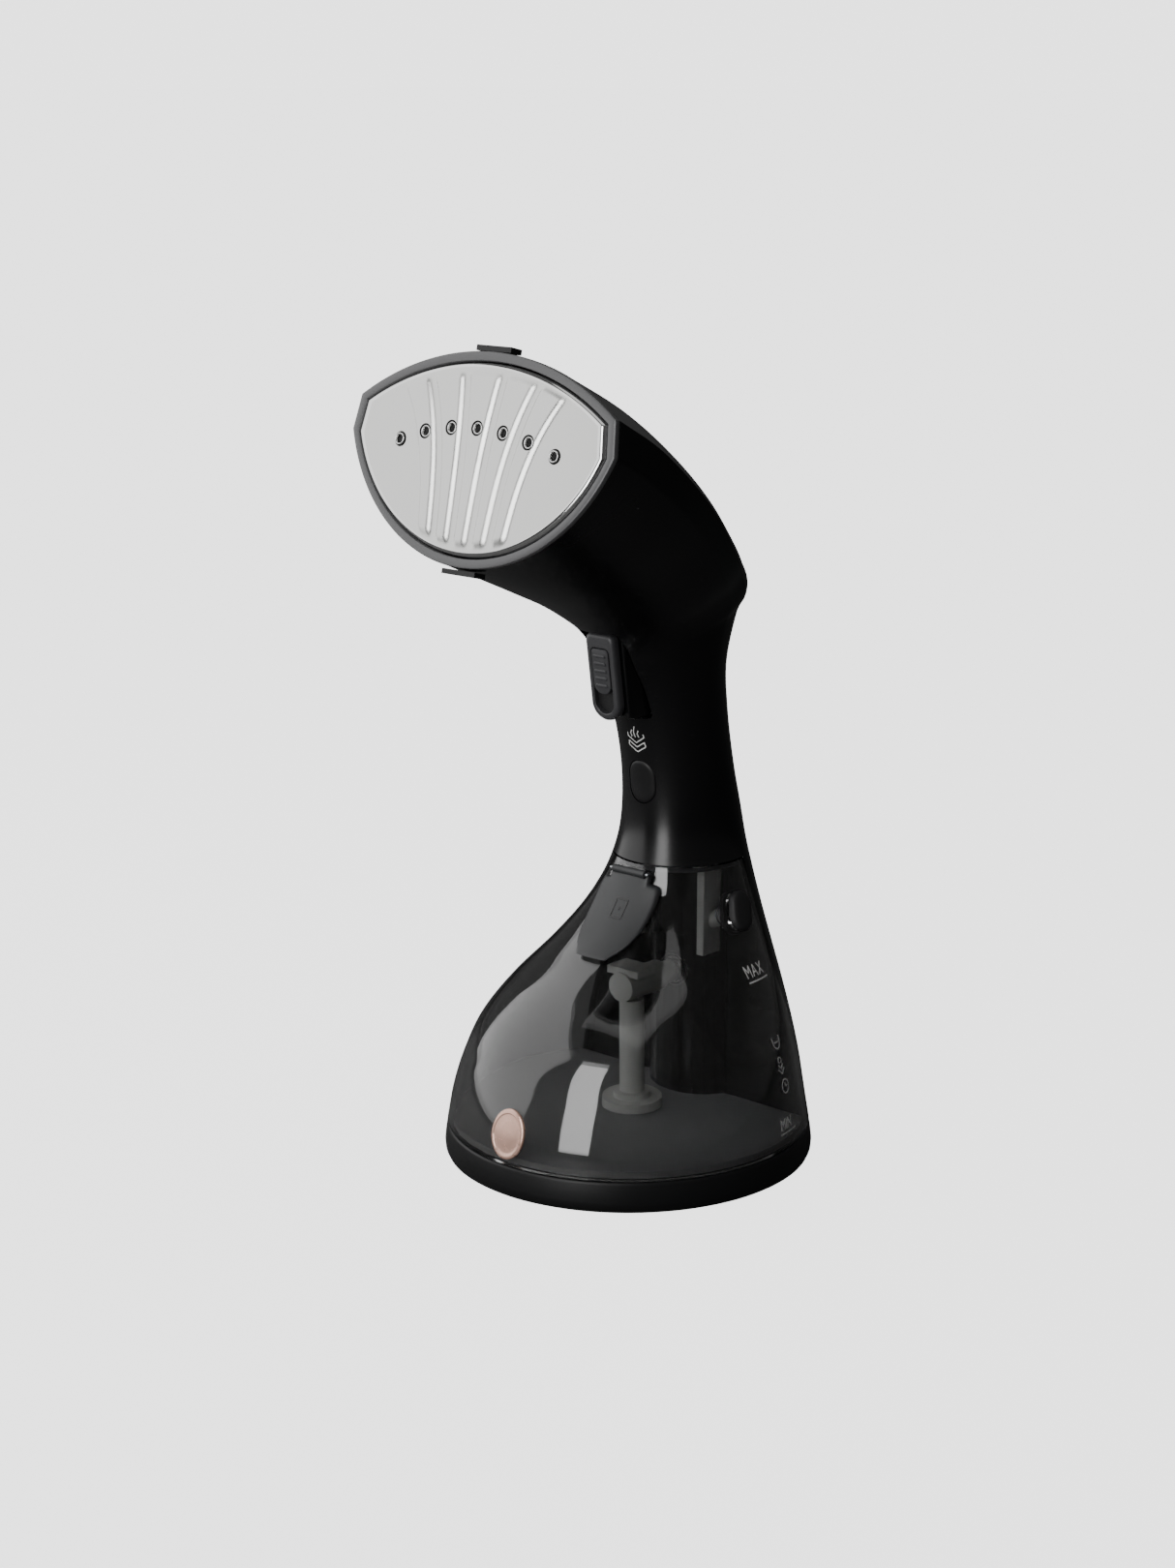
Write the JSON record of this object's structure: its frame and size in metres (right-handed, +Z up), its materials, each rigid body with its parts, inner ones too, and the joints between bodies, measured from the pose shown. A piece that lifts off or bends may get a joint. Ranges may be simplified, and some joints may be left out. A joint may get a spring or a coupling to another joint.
{
  "type": "handheld garment steamer",
  "caption": "Handheld garment steamer with a wide metal steam plate, curved black handle with trigger, and a clear smoke water tank on a round foot.",
  "frame": {"origin": "middle of the round foot, at the underside that stands on the table", "axes": "+Z up, -Y the way the steam plate faces, +X across the appliance"},
  "size_m": [0.1298, 0.1472, 0.2873],
  "materials": {
    "bezel_grey": "moulded, satin",
    "steel_plate": "satin pressed stainless",
    "clip_plastic": "moulded, matt",
    "silicone_red": "moulded silicone",
    "cast_aluminium": "die cast",
    "element_sheath": "heat stained",
    "mica": "pressed mica sheet",
    "ceramic_white": "ceramic body",
    "brass_fitting": "turned",
    "steel_screw": "zinc plated",
    "housing_black": "moulded, satin gloss",
    "inner_black": "moulded, matt",
    "trigger_grey": "moulded, fine texture",
    "trigger_gloss": "moulded, gloss",
    "lens_smoke": "dark translucent",
    "led_body": "clear epoxy",
    "board_green": "glass epoxy board",
    "component_grey": "moulded",
    "hose_silicone": "extruded silicone",
    "wire_black": "insulated wire",
    "pump_white": "moulded",
    "copper_coil": "varnished copper winding",
    "rubber_black": "moulded",
    "port_grey": "moulded",
    "foot_black": "moulded, fine texture",
    "tank_clear": "smoke tinted clear plastic",
    "tank_grey": "moulded",
    "deck_grey": "moulded",
    "cap_grey": "moulded, satin",
    "pale_grey": "moulded",
    "button_rubber": "soft touch",
    "rose_gold": "rose gold plated"
  },
  "bodies": {
    "steamer": {"bezel_ring": "bezel_grey", "steam_plate": "steel_plate", "top_clip": "clip_plastic", "bottom_clip": "clip_plastic", "steam_seal": "silicone_red", "boiler_block": "cast_aluminium", "heating_element": "element_sheath", "heat_shield": "mica", "thermostat": "ceramic_white", "thermal_fuse": "steel_screw", "boiler_inlet": "brass_fitting", "plate_screws": "steel_screw", "front_housing": "housing_black", "rear_housing": "housing_black", "handle_floor": "inner_black", "trigger_pin": "steel_screw", "trigger_spring": "steel_screw", "microswitch": "component_grey", "lamp_lens": "lens_smoke", "lamp_led": "led_body", "control_board": "board_green", "board_parts": "component_grey", "water_hose": "hose_silicone", "wiring": "wire_black", "bay_wall": "inner_black", "pump_body": "pump_white", "pump_coil": "copper_coil", "pump_mounts": "rubber_black", "inlet_port": "port_grey", "port_seal": "rubber_black", "cord_gland": "rubber_black", "terminal_block": "ceramic_white", "housing_screws": "steel_screw", "base_foot": "foot_black", "base_cover": "foot_black", "foot_pads": "rubber_black", "base_screws": "steel_screw"},
    "trigger": {"trigger_pad": "trigger_grey", "trigger_block": "trigger_gloss"},
    "lock": {"lock_slider": "trigger_grey"},
    "tank": {"tank_shell": "tank_clear", "tank_floor": "tank_grey", "tank_deck": "deck_grey", "cap_hinge_pin": "steel_screw", "suction_tube": "pale_grey", "suction_connector": "pale_grey", "filter_foot": "pale_grey", "button_spring_right": "steel_screw", "button_spring_left": "steel_screw", "badge": "rose_gold"},
    "cap": {"fill_cap": "cap_grey", "cap_seal": "rubber_black"},
    "button_right": {"release_button_right": "button_rubber", "latch_arm_right": "pale_grey"},
    "button_left": {"release_button_left": "button_rubber", "latch_arm_left": "pale_grey"}
  },
  "joints": [
    {"name": "trigger_hinge", "type": "hinge", "parent": "steamer", "child": "trigger", "pos_m": [0, -0.0036, 0.1836], "axis": [1, 0, 0], "range_deg": [0, 5.5], "stiffness_Nm_per_rad": 1, "springref_deg": -2.86, "deforming": ["trigger_spring"]},
    {"name": "lock_slide", "type": "slide", "parent": "trigger", "child": "lock", "axis": [0, -0.1392, 0.9903], "range_m": [-0.0052, 0]},
    {"name": "tank_slide", "type": "slide", "parent": "steamer", "child": "tank", "axis": [0, -1, 0], "range_m": [0, 0.14]},
    {"name": "cap_hinge", "type": "hinge", "parent": "tank", "child": "cap", "pos_m": [0, 0.00075, 0.1015], "axis": [-1, 0, 0], "range_deg": [0, 75]},
    {"name": "button_right_slide", "type": "slide", "parent": "tank", "child": "button_right", "axis": [-0.9092, 0, -0.4163], "range_m": [0, 0.0018], "stiffness_N_per_m": 900, "springref_m": -0.0006, "deforming": ["button_spring_right"]},
    {"name": "button_left_slide", "type": "slide", "parent": "tank", "child": "button_left", "axis": [0.9092, 0, -0.4163], "range_m": [0, 0.0018], "stiffness_N_per_m": 900, "springref_m": -0.0006, "deforming": ["button_spring_left"]}
  ]
}
